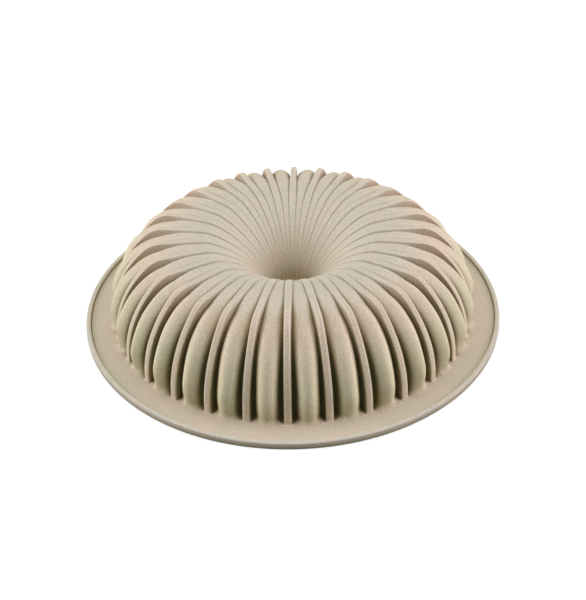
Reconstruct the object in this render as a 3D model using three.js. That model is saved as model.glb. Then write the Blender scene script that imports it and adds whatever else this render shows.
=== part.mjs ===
// A fluted ring-cake mould of beige silicone, standing upside down on its brim,
// with a round steel wire hoop held in the bead that runs round the edge.
import * as THREE from 'three';

// Driving dimensions, in millimetres. The brim lies on z = 0 and the axis is Z.
const bodyDiameter = 224.3; // circle of the rib feet on the brim
const brimWidth = 17.85; // from the rib feet to the outermost edge
const brimThickness = 2.7;
const height = 54.7; // underside of the brim to the flat crown of the ribs
const wall = 2.2; // silicone under the lobes and under the crevices

// The rib line, from the foot over the crown and down the centre funnel
const flankReach = 65; // horizontal half-axis of the flank's elliptical curve
const kneeDiameter = 168; // circle where flank and crown would meet in a corner
const kneeRound = 3; // height of the rounding below that corner
const crownInnerDiameter = 110; // circle where the crown starts to dip
const funnelLipPull = 14; // how far the dip stays level before it turns down
const funnelTubePull = 18.6; // how far the funnel runs straight above its tip
const funnelTubeDiameter = 28.4;
const funnelTubeHeight = 12.8; // where the round tip starts
const funnelTipHeight = 5.5; // lowest point inside the closed tip

// Ribs, lobes and the crevices between them
const ribCount = 30;
const ribWidthAtFoot = 4.2;
const ribWidthAtCrown = 3.4;
const creviceWidthAtFoot = 2.8;
const creviceWidthAtCrown = 1.8;
const footRound = 4; // height over which the flutes sweep out into the brim
const footReach = 1.8; // how far their feet run out onto the brim
const lobeDropAtKnee = 1.8; // how far the lobes' crests lie under the rib line
const lobeDropAtCrown = 0.4;
const lobeBulge = 4.8; // how far the crests swell out from there down the flank
const lobeBulgeHeight = 17; // where they swell out most
const lobeTuckSpan = 20; // height below that over which the swelling would die away
const lobeArchAtFoot = 3; // how far the lobes fall from crest to shoulder
const lobeArchAtKnee = 2.2;
const lobeArchAtCrown = 0.1;
const creviceDropAtFoot = 5; // how far the crevices lie under the rib line
const creviceDropAtKnee = 5.5;
const creviceDropAtCrown = 1;

// Edge bead and the hoop in it
const wireDiameter = 1.4;
const wireClearance = 0.3;
const beadSkin = 0.55; // silicone beside the wire's channel
const beadLip = 0.8; // silicone under the channel, beside its mouth
const beadRise = 1.8; // above the brim's top
const beadUndersideChamfer = 0.6;
const channelMouthWidth = 1;

// Facet counts
const rimColumns = 72;
const tipColumns = 48;
const tipSteps = 3;
const beadSteps = 4;
const channelSteps = 7;
const wireSides = 6;

// Shares of one pitch that the flutes keep to where the funnel is narrow
const widestRib = 0.18;
const widestCrevice = 0.1;

// Where the lobes' shoulders lie, as shares of the way from a crevice to the crest
const outerShoulder = 0.28;
const cavityShoulder = 0.6;

const bodyRadius = bodyDiameter / 2;
const rimRadius = bodyRadius + brimWidth;
const pitch = (2 * Math.PI) / ribCount;
const channelRadius = wireDiameter / 2 + wireClearance;
const beadRadius = channelRadius + beadSkin;
const hoopRadius = rimRadius - beadRadius;
const hoopHeight = beadLip + channelRadius;
const beadTop = brimThickness + beadRise;

const silicone = new THREE.MeshStandardMaterial({
  name: 'silicone', color: 0xcdbb9f, roughness: 0.75, metalness: 0,
});
const steel = new THREE.MeshStandardMaterial({
  name: 'steel', color: 0xb9bcbe, roughness: 0.35, metalness: 1,
});

// How far a lobe's crest lies under the flank of the rib line. Below zero it stands out.
function flankLobeDrop(z) {
  const span = z > lobeBulgeHeight ? height - lobeBulgeHeight : lobeTuckSpan;
  return lobeDropAtKnee - lobeBulge * (1 - ((z - lobeBulgeHeight) / span) ** 2);
}

// The curves of the rib line in the plane of radius and height, foot first.
// Each says how its lobes, crevices and ribs change from its start to its end.
function ribSpans() {
  const flankCentre = bodyRadius - flankReach;
  const cornerShare = (kneeDiameter / 2 - flankCentre) / flankReach;
  const flankRise = (height - brimThickness) / Math.sqrt(1 - cornerShare ** 2);
  const footAngle = Math.asin(footRound / flankRise);
  const kneeAngle = Math.asin((height - brimThickness - kneeRound) / flankRise);
  const flank = new THREE.EllipseCurve(
    flankCentre, brimThickness, flankReach, flankRise, footAngle, kneeAngle,
  );

  const flankEnd = flank.getPoint(1);
  const flankHeading = flank.getTangent(1);
  const corner = flankEnd.clone().addScaledVector(flankHeading, kneeRound / flankHeading.y);
  const crownStart = new THREE.Vector2(corner.x - corner.distanceTo(flankEnd), height);
  const knee = new THREE.QuadraticBezierCurve(flankEnd, corner, crownStart);

  const crownEnd = new THREE.Vector2(crownInnerDiameter / 2, height);
  const crown = new THREE.LineCurve(crownStart, crownEnd);
  const tubeStart = new THREE.Vector2(funnelTubeDiameter / 2, funnelTubeHeight);
  const funnel = new THREE.CubicBezierCurve(
    crownEnd,
    new THREE.Vector2(crownEnd.x - funnelLipPull, height),
    new THREE.Vector2(tubeStart.x, tubeStart.y + funnelTubePull),
    tubeStart,
  );

  const atFoot = {
    arch: lobeArchAtFoot,
    crevice: creviceDropAtFoot,
    rib: ribWidthAtFoot,
    gap: creviceWidthAtFoot,
  };
  const atKnee = {
    lobe: lobeDropAtKnee,
    arch: lobeArchAtKnee,
    crevice: creviceDropAtKnee,
    rib: ribWidthAtCrown,
    gap: creviceWidthAtFoot,
  };
  const atCrown = {
    lobe: lobeDropAtCrown,
    arch: lobeArchAtCrown,
    crevice: creviceDropAtCrown,
    rib: ribWidthAtCrown,
    gap: creviceWidthAtCrown,
  };
  const atTube = { lobe: 0, arch: 0, crevice: 0, rib: ribWidthAtCrown, gap: creviceWidthAtCrown };
  return [
    { curve: flank, from: atFoot, to: atKnee, swells: true, outerSteps: 5, cavitySteps: 4 },
    { curve: knee, from: atKnee, to: atKnee, swells: true, outerSteps: 2, cavitySteps: 1 },
    { curve: crown, from: atKnee, to: atCrown, swells: false, outerSteps: 2, cavitySteps: 1 },
    { curve: funnel, from: atCrown, to: atTube, swells: false, outerSteps: 6, cavitySteps: 4 },
  ];
}

// Stations along the rib line with their outward normals and flute sizes.
// On the flank and knee the lobes swell out; past the knee all sizes settle early.
function ribStations(stepsOf) {
  const stations = [];
  for (const { curve, from, to, swells, ...span } of ribSpans()) {
    const steps = stepsOf(span);
    for (let step = 0; step < steps; step += 1) {
      const t = step / steps;
      const share = swells ? t : 1 - (1 - t) ** 2;
      const point = curve.getPoint(t);
      const heading = curve.getTangent(t);
      stations.push({
        point,
        normal: new THREE.Vector2(heading.y, -heading.x),
        lobe: swells ? flankLobeDrop(point.y) : THREE.MathUtils.lerp(from.lobe, to.lobe, share),
        arch: THREE.MathUtils.lerp(from.arch, to.arch, share),
        crevice: THREE.MathUtils.lerp(from.crevice, to.crevice, share),
        rib: THREE.MathUtils.lerp(from.rib, to.rib, share),
        gap: THREE.MathUtils.lerp(from.gap, to.gap, share),
      });
    }
  }
  return stations;
}

// Angles from a rib's middle to its edge, its crevice and the shoulder of its lobe
function fluteAngles(station, shoulderShare) {
  const ribEdge = Math.min(station.rib / 2 / station.point.x, widestRib * pitch);
  const crevice = ribEdge + Math.min(station.gap / 2 / station.point.x, widestCrevice * pitch);
  const shoulder = crevice + (pitch / 2 - crevice) * shoulderShare;
  return { ribEdge, crevice, shoulder };
}

// One ring of a fluted surface. Each column lies some way under the rib line.
function flutedRing(station, columns) {
  const ring = [];
  for (let rib = 0; rib < ribCount; rib += 1) {
    const middle = (rib + 0.5) * pitch;
    for (const { angle, drop } of columns) {
      const place = station.point.clone().addScaledVector(station.normal, -drop);
      ring.push({ angle: middle + angle, radius: place.x, z: place.y });
    }
  }
  return ring;
}

function outerRing(station) {
  const { ribEdge, crevice, shoulder } = fluteAngles(station, outerShoulder);
  const shoulderDrop = station.lobe + station.arch;
  return flutedRing(station, [
    { angle: -shoulder, drop: shoulderDrop },
    { angle: -crevice, drop: station.crevice },
    { angle: -ribEdge, drop: 0 },
    { angle: ribEdge, drop: 0 },
    { angle: crevice, drop: station.crevice },
    { angle: shoulder, drop: shoulderDrop },
    { angle: pitch / 2, drop: station.lobe },
  ]);
}

// The cavity's side keeps a wall's thickness under the crevices and under the lobes' slopes
function cavityRing(station) {
  const { crevice, shoulder } = fluteAngles(station, cavityShoulder);
  const fall = (station.arch * (1 - cavityShoulder)) / (1 - outerShoulder);
  const shoulderDrop = station.lobe + fall + wall;
  return flutedRing(station, [
    { angle: -shoulder, drop: shoulderDrop },
    { angle: -crevice, drop: station.crevice + wall },
    { angle: crevice, drop: station.crevice + wall },
    { angle: shoulder, drop: shoulderDrop },
  ]);
}

function plainRing(radius, z, columns) {
  const step = (2 * Math.PI) / columns;
  return Array.from({ length: columns }, (_, column) => ({ angle: column * step, radius, z }));
}

// The funnel's closed round tip, from its rim down, at some depth in the silicone
function tipRings(depth) {
  const reach = funnelTubeDiameter / 2 + depth;
  const fall = funnelTubeHeight - funnelTipHeight + depth;
  const tip = new THREE.EllipseCurve(0, funnelTubeHeight, reach, fall, 0, -Math.PI / 2, true);
  const points = tip.getPoints(tipSteps).slice(0, -1);
  return points.map((point) => plainRing(point.x, point.y, tipColumns));
}

// Brim top, edge bead, wire channel with its mouth, and back to the brim's underside
function brimRings() {
  const beadTurn = beadTop - beadRadius;
  const bead = new THREE.EllipseCurve(hoopRadius, beadTurn, beadRadius, beadRadius, Math.PI, 0, true);
  const mouthAngle = Math.asin(channelMouthWidth / 2 / channelRadius);
  const channelStart = -Math.PI / 2 + mouthAngle;
  const channelEnd = (3 * Math.PI) / 2 - mouthAngle;
  const channel = new THREE.EllipseCurve(
    hoopRadius, hoopHeight, channelRadius, channelRadius, channelStart, channelEnd,
  );
  const section = [
    new THREE.Vector2(bodyRadius + footReach, brimThickness),
    new THREE.Vector2(hoopRadius - beadRadius, brimThickness),
    ...bead.getPoints(beadSteps),
    new THREE.Vector2(rimRadius, beadUndersideChamfer),
    new THREE.Vector2(rimRadius - beadUndersideChamfer, 0),
    new THREE.Vector2(hoopRadius + channelMouthWidth / 2, 0),
    ...channel.getPoints(channelSteps),
    new THREE.Vector2(hoopRadius - channelMouthWidth / 2, 0),
  ];
  return section.map((point) => plainRing(point.x, point.y, rimColumns));
}

// Skin over a list of rings, closed by a pole on the axis at each end
function skin(firstPole, rings, lastPole) {
  const positions = [0, 0, firstPole];
  const numbered = rings.map((ring) => ring.map(({ angle, radius, z }) => {
    positions.push(radius * Math.cos(angle), radius * Math.sin(angle), z);
    return { angle, index: positions.length / 3 - 1 };
  }));
  positions.push(0, 0, lastPole);
  const lastIndex = positions.length / 3 - 1;
  const faces = [];

  const first = numbered[0];
  first.forEach(({ index }, column) => faces.push(0, index, first[(column + 1) % first.length].index));
  for (let row = 1; row < numbered.length; row += 1) {
    faces.push(...stitch(numbered[row - 1], numbered[row]));
  }
  const last = numbered.at(-1);
  last.forEach(({ index }, column) => faces.push(index, lastIndex, last[(column + 1) % last.length].index));

  const geometry = new THREE.BufferGeometry();
  geometry.setAttribute('position', new THREE.Float32BufferAttribute(positions, 3));
  geometry.setIndex(faces);
  geometry.computeVertexNormals();
  return geometry;
}

// A strip of triangles between two rings, which may have different column counts
function stitch(ringA, ringB) {
  const faces = [];
  const angleAt = (ring, column) => {
    const turns = Math.floor(column / ring.length);
    return ring[column % ring.length].angle + turns * 2 * Math.PI;
  };
  let a = 0;
  let b = 0;
  while (a < ringA.length || b < ringB.length) {
    const here = [ringA[a % ringA.length].index, ringB[b % ringB.length].index];
    const stepA = b >= ringB.length || (a < ringA.length && angleAt(ringA, a + 1) <= angleAt(ringB, b + 1));
    if (stepA) {
      a += 1;
      faces.push(...here, ringA[a % ringA.length].index);
    } else {
      b += 1;
      faces.push(...here, ringB[b % ringB.length].index);
    }
  }
  return faces;
}

function mouldBody() {
  const outer = ribStations((span) => span.outerSteps).map(outerRing).reverse();
  const cavity = ribStations((span) => span.cavitySteps).map(cavityRing);
  const mouth = cavity[0].map((column) => ({ ...column, z: 0 }));
  const rings = [
    ...tipRings(0).reverse(),
    ...outer,
    ...brimRings(),
    mouth,
    ...cavity,
    ...tipRings(wall),
  ];
  const body = new THREE.Mesh(skin(funnelTipHeight, rings, funnelTipHeight - wall), silicone);
  body.name = 'mould_body';
  return body;
}

function rimHoop() {
  const ring = new THREE.TorusGeometry(hoopRadius, wireDiameter / 2, wireSides, rimColumns);
  const hoop = new THREE.Mesh(ring, steel);
  hoop.name = 'rim_hoop';
  hoop.position.z = hoopHeight;
  return hoop;
}

const cakeMould = new THREE.Group();
cakeMould.name = 'cake_mould';
cakeMould.add(mouldBody(), rimHoop());

export default cakeMould;
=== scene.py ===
# %% [markdown]
# # A ribbed ring-cake mould in soft silicone
# The real mould is one thin moulding of beige silicone, with a wire hoop held in the bead round its edge.
# It stands upside down. The brim lies on the table, thirty thin ribs climb from it, cross the crown and run
# down into a closed funnel, and a rounded lobe swells between each two ribs.
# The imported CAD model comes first, because it fixes the place and the size of everything that follows.

# %% Load the frame and keep its box
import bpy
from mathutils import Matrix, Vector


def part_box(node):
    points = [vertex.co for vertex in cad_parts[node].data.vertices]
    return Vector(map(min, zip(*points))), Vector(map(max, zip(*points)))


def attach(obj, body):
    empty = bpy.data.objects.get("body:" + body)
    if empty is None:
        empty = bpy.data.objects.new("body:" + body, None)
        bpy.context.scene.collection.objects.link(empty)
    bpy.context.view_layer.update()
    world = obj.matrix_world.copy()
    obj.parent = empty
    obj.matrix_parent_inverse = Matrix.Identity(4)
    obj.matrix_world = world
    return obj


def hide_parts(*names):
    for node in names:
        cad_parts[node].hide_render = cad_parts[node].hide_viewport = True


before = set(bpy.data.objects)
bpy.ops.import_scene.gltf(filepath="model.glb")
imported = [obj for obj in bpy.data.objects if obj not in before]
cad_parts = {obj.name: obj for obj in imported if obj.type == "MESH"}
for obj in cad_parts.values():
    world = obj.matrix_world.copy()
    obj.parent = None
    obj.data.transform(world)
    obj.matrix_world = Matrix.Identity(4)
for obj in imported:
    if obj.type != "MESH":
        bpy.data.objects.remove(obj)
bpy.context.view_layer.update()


# %% Blender's own modules
from bisect import bisect_right
from math import asin, atan2, cos, degrees, pi, radians, sin, sqrt

import bmesh
import bpy
from mathutils import Matrix, Vector
from mathutils.geometry import interpolate_bezier

print("Blender", bpy.app.version_string)

# %% [markdown]
# ## Sizes
# Every size hangs on the frame. The rim's radius and the height are read from the CAD node, and one drawing
# millimetre is a share of that radius. A larger frame then gives a larger mould, with nothing to retype.

# %% Main sizes
drawn_rim_radius = 130
mould_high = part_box("mould_body")[1]
rim_radius = mould_high.x
height = mould_high.z
mm = rim_radius / drawn_rim_radius
brim_top = 2.7 * mm
foot_radius = 112.15 * mm
wall = 2.2 * mm
rib_count = 30
pitch = 2 * pi / rib_count
print(f"rim radius {rim_radius:.4f} m, height {height:.4f} m, one rib every {degrees(pitch):.0f} degrees")

# %% [markdown]
# ## The rib line
# Seen from the side, the top edge of a rib is one flowing line: almost upright at the foot, round over the
# flank, a small knee, a flat crown, and a long dip into the funnel. It could be drawn by hand with a curve
# object. Formulas are chosen here because each stretch is a plain curve with a size that a maker would
# measure: an ellipse for the flank, a small turn for the knee, a straight crown and a Bezier dip.

# %% The flank and the knee
flank_reach = 65 * mm
flank_steps = 20
knee_radius = 84.5 * mm
knee_round = 4.5 * mm
knee_steps = 8
handle_share = 2 / 3
foot_round = 3.2 * mm
flank_centre = foot_radius - flank_reach
flank_rise = (height - brim_top) / sqrt(1 - ((knee_radius - flank_centre) / flank_reach) ** 2)


def ellipse_arc(centre, reach, rise, start, end, steps):
    """Points on an ellipse in the XZ plane, from one angle to another."""
    angles = [start + (end - start) * step / steps for step in range(steps + 1)]
    return [Vector((centre.x + reach * cos(a), 0, centre.z + rise * sin(a))) for a in angles]


foot_angle = asin(foot_round / flank_rise)
knee_angle = asin((height - brim_top - knee_round) / flank_rise)
flank_middle = Vector((flank_centre, 0, brim_top))
flank = ellipse_arc(flank_middle, flank_reach, flank_rise, knee_angle, foot_angle, flank_steps)
flank_heading = flank[0] - flank[1]
knee_corner = flank[0] + flank_heading * (knee_round / flank_heading.z)
knee_start = knee_corner - Vector(((knee_corner - flank[0]).length, 0, 0))
knee_handles = [point.lerp(knee_corner, handle_share) for point in (knee_start, flank[0])]
knee = interpolate_bezier(knee_start, *knee_handles, flank[0], knee_steps + 1)
print(f"flank of {len(flank)} points, knee of {len(knee)}")

# %% The crown and the funnel
crown_inner_radius = 55 * mm
funnel_radius = 14.2 * mm
funnel_tube_height = 12.8 * mm
lip_pull = 14 * mm
tube_pull = 18.6 * mm
funnel_steps = 20
crown_steps = 9

tube_point = Vector((funnel_radius, 0, funnel_tube_height))
crown_end = Vector((crown_inner_radius, 0, height))
funnel = interpolate_bezier(
    tube_point,
    tube_point + Vector((0, 0, tube_pull)),
    crown_end - Vector((lip_pull, 0, 0)),
    crown_end,
    funnel_steps + 1,
)
crown = [crown_end.lerp(knee_start, step / crown_steps) for step in range(crown_steps + 1)]
rib_line = funnel[:-1] + crown[:-1] + knee[:-1] + flank
print(f"rib line of {len(rib_line)} points, from the funnel to the foot")

# %% [markdown]
# ## Lobes and crevices
# Between the ribs lie the lobes. The ribs turn sharply at the knee and stand out there like fins, while the
# lobes bend softly. Lower down the lobes swell past the ribs, and near the brim they tuck in again. Their
# crest could be a second hand-drawn curve. Here it is worked out from the rib line, which keeps the two in
# step row by row: first the line is softened round the knee, then it is moved in or out by a formula.

# %% A softer line under the ribs
soft_knee = 14 * mm
soft_samples = 6
travel = [0]
for start, end in zip(rib_line, rib_line[1:]):
    travel.append(travel[-1] + (end - start).length)


def smooth_share(value, start, end):
    """0 before start, 1 after end, and a soft rise between."""
    share = min(max((value - start) / (end - start), 0), 1)
    return share * share * (3 - 2 * share)


def point_at(distance):
    """The point of the rib line at some distance along it."""
    index = min(max(bisect_right(travel, distance) - 1, 0), len(rib_line) - 2)
    share = (distance - travel[index]) / (travel[index + 1] - travel[index])
    return rib_line[index].lerp(rib_line[index + 1], share)


def soft_point(index):
    """The mean of the rib line around one point. The reach of the mean dies away from the knee."""
    away = (rib_line[index] - knee_corner).length
    reach = soft_knee * (1 - smooth_share(away, soft_knee, 2 * soft_knee))
    total = Vector()
    for sample in range(-soft_samples, soft_samples + 1):
        total += point_at(travel[index] + reach * sample / soft_samples)
    return total / (2 * soft_samples + 1)


base_line = [soft_point(index) for index in range(len(rib_line))]
softening = max((soft - sharp).length for soft, sharp in zip(base_line, rib_line))
print(f"the soft line lies up to {softening / mm:.1f} mm under the ribs")

# %% How far the lobes lie under that line
dip_at_crown = 0.4 * mm
dip_at_lip = 0.9 * mm
lobe_bulge = 3.5 * mm
bulge_power = 1.5
fullest_height = 17 * mm
tuck_span = 15 * mm
flat_crown_radius = 68 * mm
crown_rows = funnel_steps + crown_steps


def lobe_dip(index):
    """How far the lobe's crest lies under the soft line. It is negative where the lobe stands out."""
    point = rib_line[index]
    if index > crown_rows:
        span = height - fullest_height if point.z > fullest_height else tuck_span
        return dip_at_crown - lobe_bulge * (1 - (abs(point.z - fullest_height) / span) ** bulge_power)
    if index > funnel_steps:
        near_lip = smooth_share(point.x, flat_crown_radius, crown_inner_radius)
        return dip_at_crown + (dip_at_lip - dip_at_crown) * near_lip
    return dip_at_lip * (index / funnel_steps) ** bulge_power


dips = [lobe_dip(index) for index in range(len(rib_line))]
print(f"lobes {max(dips) / mm:.1f} mm under the line at the lip, up to {-min(dips) / mm:.1f} mm outside it")

# %% How deep the crevices are
crease_at_crown = 0.22 * mm
groove_at_knee = 4.4 * mm
groove_at_foot = 5.2 * mm
groove_start = 60 * mm


def groove_depth(index):
    """How deep the floor of the crevice lies under the soft line."""
    point = rib_line[index]
    shallow = lobe_dip(index) + crease_at_crown * min(index / funnel_steps, 1) ** 2
    if index <= crown_rows:
        deep = smooth_share(point.x, groove_start, knee_radius)
        return shallow + (groove_at_knee - shallow) * deep
    drop = (height - point.z) / height
    return groove_at_knee + (groove_at_foot - groove_at_knee) * drop


def inward(line, index):
    """The direction that points into the silicone at one point of a line."""
    heading = line[min(index + 1, len(line) - 1)] - line[max(index - 1, 0)]
    heading.normalize()
    return Vector((heading.z, 0, -heading.x))


print(f"crevices {groove_at_knee / mm:.1f} mm deep at the knee, {groove_at_foot / mm:.1f} at the foot")

# %% [markdown]
# ## Tone and hue of the skin
# The skin's colour carries painted light and shade: painted highlights on the ribs' rounded edges and on the
# lobes' sides, painted shade in the crevices, at the lobes' feet, in the bead's groove, on the rim's side and
# deep in the funnel, a lower flank and a funnel middle painted paler in place of light, and a green tint on
# the lower lobes and ribs that is painted shade colour. That could be painted onto the finished mesh by hand.
# Here every place gets two numbers by formula, so the paint always fits the form: a tone, from 0 for dark to
# 1 for pale, and a hue, a place on a scale from the crown over the ribs and the lobes to the rim's side. The
# silicone's material reads both later.

# %% Hues along the rib line
crown_hue, brim_hue, rib_hue, lobe_hue, rim_hue = 0, 0.25, 0.4, 0.8, 1
green_start, green_end = 56 * mm, 22 * mm
rib_green = 0.5
funnel_warmth = 0.5


def past_lip(index):
    """0 up to the funnel's lip, 1 past the knee, and a soft rise over the crown."""
    return smooth_share(index, funnel_steps, crown_rows + knee_steps)


def row_hues(index):
    """The hue of the rib and the hue of the lobe at one point of the rib line."""
    sunk = 1 - smooth_share(index, 0, funnel_steps)
    # Painted shade colour: the lobes turn greener lower down, where they are shaded, and the ribs half as
    # much.
    green = smooth_share(rib_line[index].z, green_start, green_end) * past_lip(index)
    warm = crown_hue + (rib_hue - crown_hue) * max(past_lip(index), sunk * funnel_warmth)
    return [warm + (lobe_hue - warm) * green * share for share in (rib_green, 1)]


print("hues of rib and lobe at the foot", [round(hue, 2) for hue in row_hues(len(rib_line) - 1)])

# %% Tones along the rib line
# Painted light: pale tones for the rib edges, the lobe sides, the lower flank and the funnel's middle.
plain_tone = 0.6
pale_rib, pale_knee, pale_lobe, pale_funnel = 0.72, 0.66, 0.82, 0.69
pale_start, pale_end = 50 * mm, 25 * mm
light_depth, dark_depth = 1 * mm, 5 * mm
dark_below = 20 * mm
# Painted shade: these losses darken the fins, the crevices, the creases and the throat.
fin_painted_shade, slot_painted_shade = 0.25, 0.5
crease_painted_shade = 0.4
throat_painted_shade = 0.07
throat_row, open_row = 3, 13
# Painted shade at the lobes' feet.
shaded_foot = 0.65
shade_height = 20 * mm


def with_painted_shade(tone, index, at_knee):
    """A tone with painted shade in a crevice: some share of it is lost at the knee, and all of it lower down.
    """
    deep = smooth_share(groove_depth(index), light_depth, dark_depth)
    low = smooth_share(height - rib_line[index].z, 0, dark_below)
    return tone * (1 - deep * (at_knee + (1 - at_knee) * low))


def row_tones(index):
    """The tones of the rib's top, its edge and its side, of the crevice and of the lobe, with painted
    highlight and painted shade.
    """
    point = rib_line[index]
    low = smooth_share(point.z, pale_start, pale_end) if index > crown_rows else 0
    near_knee = smooth_share(point.x, groove_start, knee_radius)
    skin_tone = plain_tone + (pale_rib - plain_tone) * low
    lobe_tone = plain_tone + (pale_knee - plain_tone) * near_knee + (pale_lobe - pale_knee) * low
    if index < funnel_steps:
        # Painted light and shade: the funnel's middle is paler, its throat darker.
        skin_tone += (pale_funnel - plain_tone) * sin(pi * index / funnel_steps)
        skin_tone -= throat_painted_shade * (1 - smooth_share(index, throat_row, open_row))
        lobe_tone = skin_tone
    # Painted highlight: the rib's rounded edges turn paler past the funnel's lip.
    edge_painted_highlight = skin_tone + (1 - skin_tone) * past_lip(index)
    # Painted shade in the funnel's creases and in the crevices.
    crease_tone = skin_tone * (1 - crease_painted_shade * min(index / funnel_steps, 1))
    slot_tone = min(with_painted_shade(skin_tone, index, slot_painted_shade), crease_tone)
    # Painted shade at the lobes' feet, darker towards the brim.
    clean = smooth_share(point.z - brim_top, 0, shade_height)
    lobe_tone *= shaded_foot + (1 - shaded_foot) * clean
    return skin_tone, edge_painted_highlight, with_painted_shade(skin_tone, index, fin_painted_shade), slot_tone, lobe_tone


print("tones at the foot", [round(tone, 2) for tone in row_tones(len(rib_line) - 1)])

# %% [markdown]
# ## One flute
# A rib is a thin fin with a flat top and softly rounded edges. Beside it lies a narrow crevice with steep
# sides, and then the lobe arches up to its crest halfway to the next rib. Carving that with boolean cutters
# would leave ragged meshes. Instead the section is written as a handful of places across half a pitch. Each
# has its distance from the rib's middle and its depth, under the rib line on the rib and under the soft line
# on the crevice and the lobe.

# %% Widths along the rib line
rib_at_crown = 2.05 * mm
rib_at_knee = 1.9 * mm
rib_at_foot = 2.15 * mm
slot_at_crown = 0.5 * mm
slot_at_knee = 1.4 * mm
slot_at_foot = 3.2 * mm
arch_at_crown = 0.1 * mm
arch_at_knee = 2.9 * mm
arch_at_foot = 4.2 * mm
widening_drop = 0.7 * height


def along(index, at_crown, at_knee, at_foot):
    """A size that changes from the crown over the knee to the foot."""
    point = rib_line[index]
    if index <= crown_rows:
        return at_crown + (at_knee - at_crown) * smooth_share(point.x, groove_start, knee_radius)
    return at_knee + (at_foot - at_knee) * smooth_share(height - point.z, 0, widening_drop)


print(f"ribs {2 * rib_at_knee / mm:.1f} mm wide at the knee, {2 * rib_at_foot / mm:.1f} at the foot")

# %% Sizes of the section
edge_round = 0.9 * mm
turn_depth_share, turn_width_share = 0.35, 0.4
lobe_corner = 0.8 * mm
arch_share = 0.5
corner_share = 0.4
widest_crease = 0.25


def section_sizes(index):
    """Half the rib's width, the slot's width, the turn of the rib's edge, the lobe's arch and its corner."""
    groove = groove_depth(index)
    lobe_rise = groove - lobe_dip(index)
    half_width = pitch / 2 * rib_line[index].x
    rib = along(index, rib_at_crown, rib_at_knee, rib_at_foot)
    slot = along(index, slot_at_crown, slot_at_knee, slot_at_foot)
    squeeze = min(widest_crease * 2 * half_width / (rib + slot / 2), 1)
    rib, slot = rib * squeeze, slot * squeeze
    turn = min(edge_round, turn_depth_share * groove, turn_width_share * rib)
    arch = min(along(index, arch_at_crown, arch_at_knee, arch_at_foot), arch_share * lobe_rise)
    corner = min(lobe_corner, corner_share * (lobe_rise - arch))
    return rib, slot, turn, arch, corner


print("section at the foot in mm", [round(size / mm, 2) for size in section_sizes(len(rib_line) - 1)])

# %% Places across the rib, the crevice and the lobe
floor_share = 0.12
side_draft = 0.06
draft_limit = 1 / 3
wall_lean = 0.2
side_painted_highlight = 0.45
lobe_steps = 3


def rib_places(index):
    """Distances, depths and tones from the rib's middle to its side."""
    rib, _, turn, _, _ = section_sizes(index)
    skin_tone, edge_painted_highlight, fin_tone, _, _ = row_tones(index)
    return [
        (0, 0, skin_tone),
        (rib - turn, 0, (skin_tone + edge_painted_highlight) / 2),
        (rib - turn * (1 - sin(pi / 4)), turn * (1 - cos(pi / 4)), edge_painted_highlight),
        (rib, turn, (skin_tone + fin_tone) / 2),
    ]


def lobe_places(index):
    """Distances, depths and tones from the rib's side, through the crevice, to the lobe's crest."""
    rib, slot, _, arch, corner = section_sizes(index)
    _, _, fin_tone, slot_tone, lobe_tone = row_tones(index)
    dip, groove = lobe_dip(index), groove_depth(index)
    lobe_edge = rib + slot
    lobe_half = pitch / 2 * rib_line[index].x - lobe_edge - corner
    wall_foot = groove * (1 - floor_share)
    places = [
        (rib + min(side_draft * groove, slot * draft_limit), wall_foot, fin_tone),
        (rib + slot / 2, groove, slot_tone),
        (lobe_edge - slot * wall_lean, wall_foot, slot_tone),
        (lobe_edge, dip + arch + corner, slot_tone),
        (lobe_edge + corner, dip + arch, (lobe_tone + slot_tone) / 2),
    ]
    for step in range(1, lobe_steps + 1):
        share = step / lobe_steps
        # Painted highlight on the lobe's sides, beside the crevices.
        tone = lobe_tone + side_painted_highlight * past_lip(index) * (1 - share) ** 2
        places.append((lobe_edge + corner + lobe_half * share, dip + arch * (1 - share) ** 2, tone))
    return places


print(f"{len(rib_places(0))} places on half a rib, {len(lobe_places(0))} on the crevice and half a lobe")

# %% Rows of places from the funnel to the foot
rib_columns = 4
crevice_column = 5
lobe_column = 8
columns = lobe_column + lobe_steps
column_angle = pitch / 2 / columns


def outer_row(index):
    """The places across half a pitch at one point of the rib line: angle, radius, height, tone and hue."""
    rib_tinge, lobe_tinge = row_hues(index)
    row = []
    for line, places in ((rib_line, rib_places(index)), (base_line, lobe_places(index))):
        for across, depth, tone in places:
            place = line[index] + inward(line, index) * depth
            tinge = rib_tinge if len(row) <= crevice_column else lobe_tinge
            row.append((across / rib_line[index].x, place.x, place.z, tone, tinge))
    return row


outer_rows = [outer_row(index) for index in range(len(rib_line))]
print(f"{len(outer_rows)} rows of {columns} steps from a rib's middle to a lobe's crest")

# %% [markdown]
# ## The foot
# At the foot the ribs drop almost straight onto the brim. The lobes flare out to it, and each crevice ends in
# a small rounded pocket. A bevel could round that corner, but it would tangle in the narrow crevices. So the
# last row of the section is swept on to the brim, with its own pace for ribs, crevices and lobes.

# %% Sweep the flutes out into the brim
foot_steps = 9
rib_toe = foot_radius + 1.8 * mm
lobe_toe = foot_radius + 4.2 * mm
toe_flat = 0.6 * mm
lobe_sweep, rib_sweep, slot_sweep = 2, 3, 4
pocket_close = 0.5
pocket_end = foot_radius - 1.4 * mm
pocket_slant = 0.4 * mm
pocket_fade = 2 * mm


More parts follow.
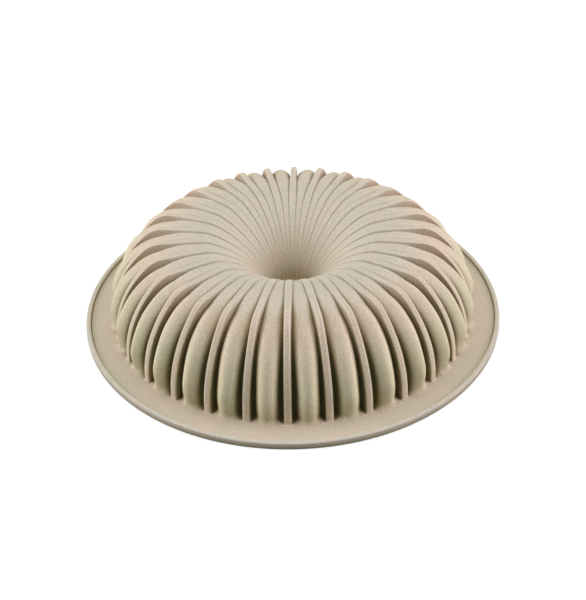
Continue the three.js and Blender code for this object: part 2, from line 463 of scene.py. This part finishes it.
def foot_row(step):
    """One row of the sweep. The lobes' edges draw in to the ribs and close the crevices."""
    share = step / foot_steps
    rib_edge = outer_rows[-1][rib_columns - 1][0]
    lobe_edge = outer_rows[-1][lobe_column][0]
    row = []
    for column, (angle, radius, z, tone, hue) in enumerate(outer_rows[-1]):
        toe, run, fall = lobe_toe, lobe_sweep, lobe_sweep
        if column < rib_columns:
            toe, run, fall = rib_toe, rib_sweep, rib_sweep
        elif column < lobe_column - 1:
            fall = slot_sweep
        radius += (toe - radius) * share ** run
        z += (brim_top - z) * (1 - (1 - share) ** fall)
        # The painted shade and highlight fade to the plain tone over the sweep. In each crevice the painted
        # shade stays dark into the pocket and fades onto the brim.
        fade = smooth_share(share, 0, 1)
        if rib_columns <= column < lobe_column:
            dark_end = pocket_end - pocket_slant * (column - rib_columns)
            fade = smooth_share(radius, dark_end, dark_end + pocket_fade)
        if rib_columns <= column <= lobe_column:
            place = (column - rib_columns + 1) / (lobe_column - rib_columns + 1)
            goal = rib_edge + (lobe_edge - rib_edge) * place * pocket_close
            angle += (goal - angle) * share * share
        row.append((angle, radius, z, tone + (plain_tone - tone) * fade, hue + (brim_hue - hue) * share))
    return row


foot_rows = [foot_row(step) for step in range(1, foot_steps + 1)]
plain_skin = (plain_tone, brim_hue)
column_angles = [place[0] for place in foot_rows[-1]]
foot_rows.append([(angle, lobe_toe + toe_flat, brim_top, *plain_skin) for angle in column_angles])
print(f"{len(foot_rows)} rows of fillet at the foot")

# %% [markdown]
# ## The brim and its bead
# The brim is a flat sheet with a thick bead round its edge. A fine groove runs inside the bead, a faint ridge
# on its side shows where the two halves of the tool met, and a channel under it holds the wire. It could be
# turned as a ring of its own and joined on. Here its outline, seen from the side, simply carries on from the
# foot, and every column of the flute repeats it, so that no seam is left.

# %% Sizes of the bead
hoop_low, hoop_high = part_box("rim_hoop")
wire_radius = (hoop_high.z - hoop_low.z) / 2
hoop_height = (hoop_high.z + hoop_low.z) / 2
hoop_radius = hoop_high.x - wire_radius
bead_radius = rim_radius - hoop_radius
bead_inner = hoop_radius - bead_radius
bead_top = 4.5 * mm
parting_line = 0.12 * mm
side_radius = rim_radius - parting_line
print(f"bead {2 * bead_radius / mm:.1f} mm wide and {bead_top / mm:.1f} mm high")

# %% The brim and the top of the bead
brim_start = foot_radius + 7 * mm
bead_groove_width = 0.5 * mm
bead_groove_depth = 0.7 * mm
bead_inner_round = 0.5 * mm
bead_outer_round = 0.9 * mm
bead_steps = 4

brim_line = [
    Vector((brim_start, 0, brim_top)),
    Vector((bead_inner - bead_groove_width, 0, brim_top)),
]
groove_line = [
    Vector((bead_inner - bead_groove_width / 2, 0, brim_top - bead_groove_depth)),
    Vector((bead_inner, 0, brim_top - bead_groove_depth / 2)),
]
inner_turn = ellipse_arc(
    Vector((bead_inner + bead_inner_round, 0, bead_top - bead_inner_round)),
    bead_inner_round, bead_inner_round, pi, pi / 2, bead_steps,
)
outer_turn = ellipse_arc(
    Vector((side_radius - bead_outer_round, 0, bead_top - bead_outer_round)),
    bead_outer_round, bead_outer_round, pi / 2, 0, bead_steps,
)
print(f"brim {(bead_inner - foot_radius) / mm:.1f} mm wide between the ribs' feet and the bead")

# %% The side, the underside and the wire's channel
under_chamfer = 0.6 * mm
wire_gap = 0.3 * mm
channel_radius = wire_radius + wire_gap
channel_steps = 10
mouth_half = 0.5 * mm

channel_turn = asin(mouth_half / channel_radius)
channel_arc = ellipse_arc(
    Vector((hoop_radius, 0, hoop_height)), channel_radius, channel_radius,
    channel_turn - pi / 2, 3 * pi / 2 - channel_turn, channel_steps,
)
side_line = [
    Vector((side_radius, 0, hoop_height + 2 * parting_line)),
    Vector((rim_radius, 0, hoop_height)),
    Vector((side_radius, 0, hoop_height - 2 * parting_line)),
    Vector((side_radius, 0, under_chamfer)),
]
under_line = [
    Vector((side_radius - under_chamfer, 0, 0)),
    Vector((hoop_radius + mouth_half, 0, 0)),
    *channel_arc,
    Vector((hoop_radius - mouth_half, 0, 0)),
]
print(f"channel {2 * channel_radius / mm:.1f} mm wide, with a mouth of {2 * mouth_half / mm:.1f} mm")

# %% Rows round the edge
# Painted shade in the bead's groove and on the rim's side, which also takes a green painted shade colour. The
# bead's top is a little paler.
bead_groove_painted_shade, bead_tone, rim_side_painted_shade = 0.3, 0.65, 0.48
stretches = [
    (brim_line, plain_skin),
    (groove_line, (bead_groove_painted_shade, brim_hue)),
    (inner_turn + outer_turn, (bead_tone, crown_hue)),
    (side_line, (rim_side_painted_shade, rim_hue)),
    (under_line, plain_skin),
]
edge_rows = []
for line, skin in stretches:
    edge_rows += [[(angle, point.x, point.z, *skin) for angle in column_angles] for point in line]
print(f"{len(edge_rows)} rows from the brim round the bead to the underside")

# %% [markdown]
# ## The inside
# The silicone has about the same thickness everywhere, so the cavity follows the outside. A Solidify modifier
# does that on gentle shapes, but these crevices are deeper than the wall, and the inner skin would cross
# itself. So the inside has rows of its own, with a broad ridge under each rib and a flute under each lobe.
# A round tip closes the funnel, outside and inside.

# %% The cavity's side
widest_ridge = 0.62
ridge_margin = 0.7 * wall
cavity_stride = 2


def cavity_row(index):
    """Under each rib and its crevices a broad ridge, and under each lobe a smooth flute."""
    base_point = base_line[index]
    into = inward(base_line, index)
    half_width = pitch / 2 * base_point.x
    crest_depth = lobe_dip(index) + wall
    floor_depth = groove_depth(index) + wall
    rib = along(index, rib_at_crown, rib_at_knee, rib_at_foot)
    slot = along(index, slot_at_crown, slot_at_knee, slot_at_foot)
    ridge = min(widest_ridge * half_width, rib + slot + ridge_margin)
    row = []
    for column in range(columns + 1):
        share = min(column / crevice_column, 1)
        across, rise = ridge * share, floor_share * share ** 4
        if column > crevice_column:
            turn = (1 - (column - crevice_column) / (columns - crevice_column)) * pi / 2
            across = half_width - (half_width - ridge) * sin(turn)
            rise = floor_share + (1 - floor_share) * cos(turn)
        place = base_point + into * (floor_depth + (crest_depth - floor_depth) * rise)
        row.append((across / base_point.x, place.x, place.z, *plain_skin))
    return row


flank_indices = range(len(rib_line) - 1, funnel_steps, -cavity_stride)
funnel_indices = range(funnel_steps, 0, -cavity_stride)
cavity_rows = [cavity_row(index) for index in (*flank_indices, *funnel_indices)]
mouth_row = [(angle, radius, under_chamfer, *skin) for angle, radius, _, *skin in cavity_rows[0]]
mouth_edge = [(angle, radius + under_chamfer, 0, *skin) for angle, radius, _, *skin in cavity_rows[0]]
print(f"{len(cavity_rows)} rows on the cavity's side")

# %% The closed tip of the funnel
tip_height = 5.5 * mm
tip_steps = 6


def tip_rows(depth, skin):
    """Rows of a round tip from its rim to the axis, some depth into the silicone."""
    centre = Vector((0, 0, funnel_tube_height))
    fall = funnel_tube_height - tip_height + depth
    arc = ellipse_arc(centre, funnel_radius + depth, fall, 0, -pi / 2, tip_steps)
    angles = [column_angle * column for column in range(columns + 1)]
    return [[(angle, point.x, point.z, *skin) for angle in angles] for point in arc]


# The outer tip takes the throat's tone, with its painted shade, and its hue.
*_, throat_tone, throat_hue = outer_rows[0][0]
outer_tip = tip_rows(0, (throat_tone, throat_hue))
inner_tip = tip_rows(wall, plain_skin)
rows = [
    *reversed(outer_tip[1:]), *outer_rows, *foot_rows, *edge_rows,
    mouth_edge, mouth_row, *cavity_rows, *inner_tip,
]
print(f"{len(rows)} rows in the wedge")

# %% [markdown]
# ## The mould body
# The moulding is one closed skin. A chain of vertices down the rib's middle is spun through half a pitch,
# which makes every face of the wedge. The spin knows nothing of flutes, so each vertex is then pressed to
# its place: its row is kept in a vertex layer, and its column shows in its angle. A mirror completes the
# flute, and a second spin, this time of copies, sets thirty of them side by side.

# %% Spin the wedge and press the flutes into it
up = (0, 0, 1)
axis_gap = 0.01 * mm
moulding = bmesh.new()
row_layer = moulding.verts.layers.int.new("row")
tone_layer = moulding.verts.layers.float.new("tone")
hue_layer = moulding.verts.layers.float.new("hue")
chain = []
for number, row in enumerate(rows):
    angle, radius, z, tone, hue = row[0]
    vert = moulding.verts.new((radius, 0, z))
    vert[row_layer], vert[tone_layer], vert[hue_layer] = number, tone, hue
    chain.append(vert)
chain_edges = [moulding.edges.new(pair) for pair in zip(chain, chain[1:])]
bmesh.ops.spin(moulding, geom=chain + chain_edges, axis=up, angle=pitch / 2, steps=columns)

for vert in moulding.verts:
    if vert.co.xy.length < axis_gap:
        continue
    column = round(atan2(vert.co.y, vert.co.x) / column_angle)
    angle, radius, z, vert[tone_layer], vert[hue_layer] = rows[vert[row_layer]][column]
    vert.co = (radius * cos(angle), radius * sin(angle), z)
print(f"wedge of {len(moulding.faces)} faces")

# %% Mirror it and turn the copies
merge_gap = 0.002 * mm


def everything(form):
    """All the vertices, edges and faces of a bmesh."""
    return list(form.verts) + list(form.edges) + list(form.faces)


bmesh.ops.mirror(
    moulding, geom=everything(moulding), matrix=Matrix.Identity(4), merge_dist=merge_gap, axis="Y",
)
bmesh.ops.spin(
    moulding, geom=everything(moulding), axis=up,
    angle=2 * pi - pitch, steps=rib_count - 1, use_duplicate=True,
)
bmesh.ops.remove_doubles(moulding, verts=moulding.verts, dist=merge_gap)
bmesh.ops.dissolve_degenerate(moulding, dist=merge_gap, edges=moulding.edges)
bmesh.ops.rotate(moulding, verts=moulding.verts, matrix=Matrix.Rotation(-pi / 2, 3, "Z"))
bmesh.ops.recalc_face_normals(moulding, faces=moulding.faces)
open_edges = sum(not edge.is_manifold for edge in moulding.edges)
print(f"mould body of {len(moulding.faces)} faces, {open_edges} open edges")

# %% Make it an object
sharp_corner = radians(55)


def make_piece(name, mesh_form, node):
    """A smooth shaded object that stands for a CAD node."""
    mesh = bpy.data.meshes.new(name)
    for face in mesh_form.faces:
        face.smooth = True
    mesh_form.to_mesh(mesh)
    mesh_form.free()
    mesh.set_sharp_from_angle(angle=sharp_corner)
    piece = bpy.data.objects.new(name, mesh)
    bpy.context.collection.objects.link(piece)
    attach(piece, "root")
    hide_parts(node)
    mesh.calc_loop_triangles()
    print(f"{name}: {len(mesh.loop_triangles)} triangles")
    return piece


mould_body = make_piece("silicone_moulding", moulding, "mould_body")

# %% [markdown]
# ## The wire hoop
# A round steel wire stiffens the soft edge. Blender has a torus tool, but a circle and a full spin show what
# a torus is: a round section carried once round the axis. The wire lies in the bead's channel, so only its
# underside shows, through the slot.

# %% Spin a circle into a hoop
wire_sides = 12
hoop_steps = 180
hoop = bmesh.new()
section = bmesh.ops.create_circle(hoop, segments=wire_sides, radius=wire_radius)["verts"]
bmesh.ops.rotate(hoop, verts=section, matrix=Matrix.Rotation(pi / 2, 3, "X"))
bmesh.ops.translate(hoop, verts=section, vec=(hoop_radius, 0, hoop_height))
bmesh.ops.spin(hoop, geom=everything(hoop), axis=up, angle=2 * pi, steps=hoop_steps, use_merge=True)
bmesh.ops.recalc_face_normals(hoop, faces=hoop.faces)
rim_hoop = make_piece("wire_hoop", hoop, "rim_hoop")

# %% [markdown]
# ## Silicone
# Moulded silicone is matt, with a very fine grain from the tool and a slightly uneven colour. A plain colour
# would look like plastic, and a picture of the skin would need unwrapping. Here noises on Object coordinates
# give the patches, the specks and the pores. The tone and the hue that every vertex carries give painted
# highlights on the edges, painted shade in the crevices, the greener lower lobes, a painted shade colour, and
# the pinker ribs.

# %% Helpers for a finish and its noises
def make_finish(name):
    """A new material with its nodes and its links."""
    finish = bpy.data.materials.new(name)
    finish.use_nodes = True
    return finish, finish.node_tree.nodes, finish.node_tree.links


def grain(nodes, links, scale, detail):
    """A noise of some fineness, in cells per metre, on the object's own coordinates."""
    place = nodes.new("ShaderNodeTexCoord")
    noise = nodes.new("ShaderNodeTexNoise")
    noise.inputs["Scale"].default_value = scale
    noise.inputs["Detail"].default_value = detail
    links.new(place.outputs["Object"], noise.inputs["Vector"])
    return noise.outputs["Fac"]


def carried(nodes, name):
    """A value that every vertex of the mesh carries."""
    value = nodes.new("ShaderNodeAttribute")
    value.attribute_name = name
    return value.outputs["Fac"]


print("values carried by the mould:", [layer.name for layer in mould_body.data.attributes])

# %% Helpers that turn values into colours
ramp_middle = 0.5
first_colour, second_colour, colour_result = 6, 7, 2


def colours(nodes, links, value, stops):
    """A ramp that turns a value into colours, from a list of positions and colours."""
    ramp = nodes.new("ShaderNodeValToRGB")
    elements = ramp.color_ramp.elements
    while len(elements) < len(stops):
        elements.new(ramp_middle)
    for element, (position, colour) in zip(elements, stops):
        element.position = position
        element.color = (*colour, 1)
    links.new(value, ramp.inputs["Fac"])
    return ramp.outputs["Color"]


def spread(nodes, links, value, low, high):
    """A value from 0 to 1 laid out between two others."""
    scale = nodes.new("ShaderNodeMapRange")
    scale.inputs["To Min"].default_value = low
    scale.inputs["To Max"].default_value = high
    links.new(value, scale.inputs["Value"])
    return scale.outputs["Result"]


def multiply(nodes, links, first, second):
    """The product of two colours. A Mix node has sockets of one name for each kind, so numbers pick them."""
    product = nodes.new("ShaderNodeMix")
    product.data_type = "RGBA"
    product.blend_type = "MULTIPLY"
    product.inputs["Factor"].default_value = 1
    links.new(first, product.inputs[first_colour])
    links.new(second, product.inputs[second_colour])
    return product.outputs[colour_result]


print("a ramp, a spread and a product are ready")

# %% The silicone's patches and specks
greenish = (0.92, 0.85, 0.705)
pinkish = (0.955, 0.847, 0.7)
unchanged = (1, 1, 1)
speck_grey = (0.86, 0.855, 0.85)
patch_scale, patch_detail = 70, 2
patch_low, patch_high = 0.38, 0.62
speck_scale, speck_detail = 1100, 3
speck_low, speck_high = 0.4, 0.6

silicone, nodes, links = make_finish("beige_silicone")
patch_noise = grain(nodes, links, patch_scale, patch_detail)
patches = colours(nodes, links, patch_noise, [(patch_low, greenish), (patch_high, pinkish)])
speck_noise = grain(nodes, links, speck_scale, speck_detail)
specks = colours(nodes, links, speck_noise, [(speck_low, speck_grey), (speck_high, unchanged)])
print(f"patches of about {1 / patch_scale / mm:.0f} mm, specks of about {1 / speck_scale / mm:.1f} mm")

# %% Its painted shade and highlights, and its tints
# The tone ramp runs from dark painted shade in the crevices over dim painted shade and the plain level to
# paler painted highlights.
crevice_painted_shade = (0.21, 0.205, 0.145)
dim_painted_shade = (0.5, 0.455, 0.375)
plain_painted_level = (0.76, 0.755, 0.745)
dim_tone = 0.4
crown_tint = (0.94, 0.98, 0.945)
rib_tint = (1, 0.95, 0.85)
# The greener lobe and rim tints are painted shade colour.
lobe_tint = (0.955, 1, 0.755)
rim_tint = (0.88, 1, 0.8)

tone = carried(nodes, "tone")
painted_shade_and_highlight = colours(nodes, links, tone, [
    (0, crevice_painted_shade),
    (dim_tone, dim_painted_shade),
    (plain_tone, plain_painted_level),
    (1, unchanged),
])
tint = colours(nodes, links, carried(nodes, "hue"), [
    (crown_hue, crown_tint),
    (rib_hue, rib_tint),
    (lobe_hue, lobe_tint),
    (rim_hue, rim_tint),
])
base_colour = patches
for layer in (specks, painted_shade_and_highlight, tint):
    base_colour = multiply(nodes, links, base_colour, layer)
shader = nodes["Principled BSDF"]
links.new(base_colour, shader.inputs["Base Color"])
print("base colour of patches, specks, wear and tint")

# %% Its gloss and its pores
plain_gloss, most_gloss = 0.25, 0.4
gloss_scale, gloss_detail = 900, 3
smoothest, roughest = 0.62, 0.78
pore_scale, pore_detail = 2400, 2
pore_strength = 0.4
pore_depth = 0.2 * mm

# The plain level is for programs that can't follow the link.
gloss = shader.inputs["Specular IOR Level"]
gloss.default_value = plain_gloss
links.new(spread(nodes, links, tone, 0, most_gloss), gloss)
gloss_noise = grain(nodes, links, gloss_scale, gloss_detail)
links.new(spread(nodes, links, gloss_noise, smoothest, roughest), shader.inputs["Roughness"])

bump = nodes.new("ShaderNodeBump")
bump.inputs["Strength"].default_value = pore_strength
bump.inputs["Distance"].default_value = pore_depth
links.new(grain(nodes, links, pore_scale, pore_detail), bump.inputs["Height"])
links.new(bump.outputs["Normal"], shader.inputs["Normal"])
mould_body.data.materials.append(silicone)
print("silicone on", mould_body.name)

# %% [markdown]
# ## Steel wire
# Drawn wire is dull grey steel, and its shine is rough and a little uneven. Scratches could be drawn along
# it, but so little of it shows that a metal shader with a noise on its roughness is enough.

# %% The wire's finish
wire_grey = (0.55, 0.56, 0.57, 1)
wire_scale, wire_detail = 1500, 2
wire_smoothest, wire_roughest = 0.3, 0.5
steel, nodes, links = make_finish("drawn_steel")
shader = nodes["Principled BSDF"]
shader.inputs["Metallic"].default_value = 1
shader.inputs["Base Color"].default_value = wire_grey
wire_noise = grain(nodes, links, wire_scale, wire_detail)
links.new(spread(nodes, links, wire_noise, wire_smoothest, wire_roughest), shader.inputs["Roughness"])
rim_hoop.data.materials.append(steel)
print("steel on", rim_hoop.name)

# %% [markdown]
# ## Floor and room
# The floor is a plain pale sheet. A very bright lamp could make it white, but it would bleach the mould too.
# Instead the sheet adds a little light of its own, only where it is seen directly, so that it reads as white
# and still takes the mould's shadow. The room does the same: white where it is seen, and almost dark as a
# source of light, so that the lamps alone shape the flutes.

# %% The floor's sheet
floor_size = 8
floor_gap = 0.1 * mm
floor_form = bmesh.new()
bmesh.ops.create_grid(floor_form, x_segments=1, y_segments=1, size=floor_size / 2)
bmesh.ops.translate(floor_form, verts=floor_form.verts, vec=(0, 0, -floor_gap))
floor_mesh = bpy.data.meshes.new("floor")
floor_form.to_mesh(floor_mesh)
floor_form.free()
floor = bpy.data.objects.new("floor", floor_mesh)
bpy.context.collection.objects.link(floor)
print(f"floor {floor_size} m wide")

# %% The floor's paper
sheet_grey = (0.28, 0.28, 0.28, 1)
sheet_lift = 0.84


def seen_directly(nodes, links):
    """1 for rays from the camera, from glossy surfaces and through glass, else 0."""
    path = nodes.new("ShaderNodeLightPath")
    total = path.outputs["Is Camera Ray"]
    for kind in ("Is Glossy Ray", "Is Transmission Ray"):
        either = nodes.new("ShaderNodeMath")
        either.operation = "MAXIMUM"
        links.new(total, either.inputs[0])
        links.new(path.outputs[kind], either.inputs[1])
        total = either.outputs["Value"]
    return total


def choose(nodes, links, unseen, seen, output):
    """Show one shader where it is seen directly, and light the scene with the other."""
    choice = nodes.new("ShaderNodeMixShader")
    links.new(seen_directly(nodes, links), choice.inputs["Fac"])
    links.new(unseen, choice.inputs[1])
    links.new(seen, choice.inputs[2])
    links.new(choice.outputs["Shader"], output.inputs["Surface"])


paper, nodes, links = make_finish("pale_paper")
nodes.remove(nodes["Principled BSDF"])
sheet = nodes.new("ShaderNodeBsdfDiffuse")
sheet.inputs["Color"].default_value = sheet_grey
lift = nodes.new("ShaderNodeEmission")
lift.inputs["Strength"].default_value = sheet_lift
seen_sheet = nodes.new("ShaderNodeAddShader")
links.new(sheet.outputs["BSDF"], seen_sheet.inputs[0])
links.new(lift.outputs["Emission"], seen_sheet.inputs[1])
choose(nodes, links, sheet.outputs["BSDF"], seen_sheet.outputs["Shader"], nodes["Material Output"])
floor_mesh.materials.append(paper)
print("paper on", floor.name)

# %% The room
fill_colour = (0.85, 1, 0.7, 1)
fill_strength = 0.01
white = (1, 1, 1, 1)
world = bpy.data.worlds.new("studio")
bpy.context.scene.world = world
world.use_nodes = True
nodes = world.node_tree.nodes
links = world.node_tree.links
fill = nodes["Background"]
fill.inputs["Color"].default_value = fill_colour
fill.inputs["Strength"].default_value = fill_strength
backdrop = nodes.new("ShaderNodeBackground")
backdrop.inputs["Color"].default_value = white
backdrop.inputs["Strength"].default_value = 1
choose(nodes, links, fill.outputs["Background"], backdrop.outputs["Background"], nodes["World Output"])
print("room light", fill_strength)

# %% [markdown]
# ## Lamps
# Soft studio light comes from eight square lamps: one above, a weak one behind, and on each side two at half
# height and a low one. One big lamp would be simpler, but it would leave one side of every rib black. The
# camera's side has none, so the flutes that face it are darker, as in the photograph. The top lamp is a
# little warm, and the side lamps are a little cool or rosy, to match the photograph's colours.

# %% The lamps
warm_light = (1, 1.01, 0.94)
plain_light = (1, 1, 1)
cool_light = (1, 0.94, 1.09)
rosy_light = (1.02, 0.915, 1.09)


def soft_lamp(name, place, size, power, colour):
    """A square lamp that faces the mould."""
    lamp = bpy.data.lights.new(name, "AREA")
    lamp.size = size
    lamp.energy = power
    lamp.color = colour
    holder = bpy.data.objects.new(name, lamp)
    holder.location = place
    holder.rotation_euler = (-Vector(place)).to_track_quat("-Z", "Y").to_euler()
    bpy.context.collection.objects.link(holder)
    print(f"{name}: {power} W, {size} m wide")


soft_lamp("top_lamp", place=(0, 0.12, 1.3), size=1.2, power=8.1, colour=warm_light)
soft_lamp("back_lamp", place=(0, 0.7, 1.1), size=0.9, power=0.7, colour=plain_light)
soft_lamp("left_lamp", place=(-1, -0.3, 0.6), size=0.8, power=4.1, colour=cool_light)
soft_lamp("right_lamp", place=(1, -0.3, 0.6), size=0.8, power=4.9, colour=rosy_light)
soft_lamp("left_back_lamp", place=(-1, 0.3, 0.6), size=0.8, power=3.4, colour=cool_light)
soft_lamp("right_back_lamp", place=(1, 0.3, 0.6), size=0.8, power=2.7, colour=rosy_light)
soft_lamp("low_left_lamp", place=(-1.2, -0.2, 0.25), size=0.5, power=3, colour=cool_light)
soft_lamp("low_right_lamp", place=(1.2, -0.2, 0.25), size=0.5, power=2.8, colour=rosy_light)

# %% [markdown]
# ## Camera
# The camera stands where the photograph was taken from. It could be placed by eye, but then no edge would lie
# quite right. Its tilt, its distance and its slight roll were fitted to the ellipse of the brim and to the
# feet of the ribs, and the lens to the way the ribs draw together towards the back.

# %% Place the camera
camera_tilt = 0.6348
camera_roll = -0.0252
camera_turn = 0.0364
camera_distance = 677.2 * mm
aim = Vector((0.377 * mm, 0, 5.12 * mm))
lens_in_pixels = 1065.4
image_height = 600
sensor = 36

camera = bpy.data.cameras.new("camera")
camera.sensor_width = sensor
camera.lens = lens_in_pixels * sensor / image_height
stand = bpy.data.objects.new("camera", camera)
stand.matrix_world = (
    Matrix.Rotation(camera_turn, 4, "Z")
    @ Matrix.Translation(aim)
    @ Matrix.Rotation(pi / 2 - camera_tilt, 4, "X")
    @ Matrix.Rotation(camera_roll, 4, "Z")
    @ Matrix.Translation((0, 0, camera_distance))
)
bpy.context.collection.objects.link(stand)
bpy.context.scene.camera = stand
bpy.context.scene.view_settings.view_transform = "Standard"
print(f"lens {camera.lens:.1f} mm, {camera_distance:.3f} m from the mould")
